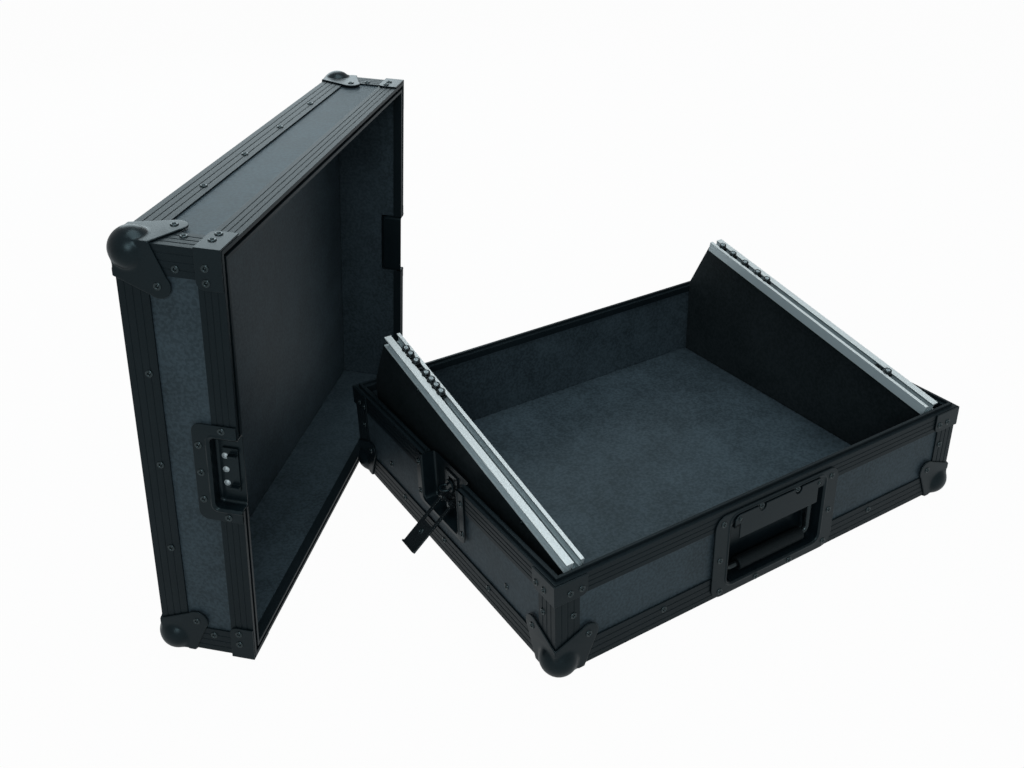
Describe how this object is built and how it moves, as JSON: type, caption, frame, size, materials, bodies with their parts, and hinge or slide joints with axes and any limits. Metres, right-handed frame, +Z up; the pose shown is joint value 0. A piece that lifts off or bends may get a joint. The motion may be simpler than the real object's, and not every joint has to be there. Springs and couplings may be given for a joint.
{
  "type": "rack mixer flight case",
  "caption": "Black flight case with a shallow tray, sloping rack rails, butterfly latches, a recessed handle and ball corners, its lid standing beside it.",
  "frame": {"origin": "on the floor under the middle of the tray, in the plane of the four feet", "axes": "+X along the tray's front edge to the right seen from the front, +Y from the front with the handle to the rear, +Z up; the lid stands on its rear wall to the left of the tray"},
  "size_m": [0.8598, 0.6448, 0.4309],
  "materials": {
    "laminate": "plywood faced with matt dark grey laminate",
    "board_paint": "plywood, matt black",
    "black_profile": "satin black anodised",
    "black_steel": "satin black coated steel",
    "rail_aluminium": "bright, finely brushed lengthwise",
    "rubber_grip": "matt black rubber"
  },
  "bodies": {
    "tray": {"base_floor_panel": "laminate", "base_front_panel": "laminate", "base_rear_panel": "laminate", "base_left_panel": "laminate", "base_right_panel": "laminate", "base_bottom_frame": "black_profile", "base_corner_post_front_left": "black_profile", "base_corner_post_front_right": "black_profile", "base_corner_post_rear_left": "black_profile", "base_corner_post_rear_right": "black_profile", "base_rim_front": "black_profile", "base_rim_rear": "black_profile", "base_rim_brace_front_left": "black_steel", "base_rim_brace_front_right": "black_steel", "base_rim_brace_rear_left": "black_steel", "base_rim_brace_rear_right": "black_steel", "base_ball_corner_front_left": "black_steel", "base_ball_corner_front_right": "black_steel", "base_ball_corner_rear_left": "black_steel", "base_ball_corner_rear_right": "black_steel", "latch_dish_left": "black_steel", "latch_dish_right": "black_steel", "handle_dish": "black_steel", "handle_cover_plate": "black_steel", "rail_board_left": "board_paint", "rail_board_right": "board_paint", "rack_rail_left": "rail_aluminium", "rack_rail_right": "rail_aluminium"},
    "lid": {"lid_top_panel": "laminate", "lid_front_panel": "laminate", "lid_rear_panel": "laminate", "lid_left_panel": "laminate", "lid_right_panel": "laminate", "lid_top_frame": "black_profile", "lid_corner_post_front_left": "black_profile", "lid_corner_post_front_right": "black_profile", "lid_corner_post_rear_left": "black_profile", "lid_corner_post_rear_right": "black_profile", "lid_rim_front": "black_profile", "lid_rim_rear": "black_profile", "lid_rim_brace_front_left": "black_steel", "lid_rim_brace_front_right": "black_steel", "lid_rim_brace_rear_left": "black_steel", "lid_rim_brace_rear_right": "black_steel", "lid_ball_corner_front_left": "black_steel", "lid_ball_corner_front_right": "black_steel", "lid_ball_corner_rear_left": "black_steel", "lid_ball_corner_rear_right": "black_steel", "lid_latch_dish_left": "black_steel", "lid_latch_dish_right": "black_steel", "latch_keeper_left": "black_steel", "latch_keeper_right": "black_steel"},
    "handle_bail": {"handle_bail": "black_steel", "handle_grip": "rubber_grip"},
    "latch_key_left": {"latch_key_left": "black_steel"},
    "latch_slide_left": {"latch_slide_left": "black_steel"},
    "latch_hook_left": {"latch_hook_left": "black_steel"},
    "latch_key_right": {"latch_key_right": "black_steel"},
    "latch_slide_right": {"latch_slide_right": "black_steel"},
    "latch_hook_right": {"latch_hook_right": "black_steel"}
  },
  "joints": [
    {"name": "lid_lift", "type": "slide", "parent": "tray", "child": "lid", "axis": [0, 0, 1], "range_m": [0, 0.3]},
    {"name": "handle_swing", "type": "hinge", "parent": "tray", "child": "handle_bail", "pos_m": [0, -0.198, 0.0857], "axis": [-1, 0, 0], "range_deg": [0, 90], "stiffness_Nm_per_rad": 0.08},
    {"name": "latch_key_turn_left", "type": "hinge", "parent": "tray", "child": "latch_key_left", "pos_m": [-0.25, 0, 0.0897], "axis": [-1, 0, 0], "range_deg": [0, 180]},
    {"name": "latch_slide_draw_left", "type": "slide", "parent": "tray", "child": "latch_slide_left", "axis": [0, 0, -1], "range_m": [0, 0.0055]},
    {"name": "latch_hook_swing_left", "type": "hinge", "parent": "latch_slide_left", "child": "latch_hook_left", "pos_m": [-0.2575, 0, 0.0737], "axis": [0, 1, 0], "range_deg": [0, 130]},
    {"name": "latch_key_turn_right", "type": "hinge", "parent": "tray", "child": "latch_key_right", "pos_m": [0.25, 0, 0.0897], "axis": [1, 0, 0], "range_deg": [0, 180]},
    {"name": "latch_slide_draw_right", "type": "slide", "parent": "tray", "child": "latch_slide_right", "axis": [0, 0, -1], "range_m": [0, 0.0055]},
    {"name": "latch_hook_swing_right", "type": "hinge", "parent": "latch_slide_right", "child": "latch_hook_right", "pos_m": [0.2575, 0, 0.0737], "axis": [0, -1, 0], "range_deg": [0, 130]}
  ],
  "couplings": [
    {"joint": "latch_key_turn_left", "follows": "latch_slide_draw_left", "rad_per_m": 565},
    {"joint": "latch_key_turn_right", "follows": "latch_slide_draw_right", "rad_per_m": 565}
  ]
}
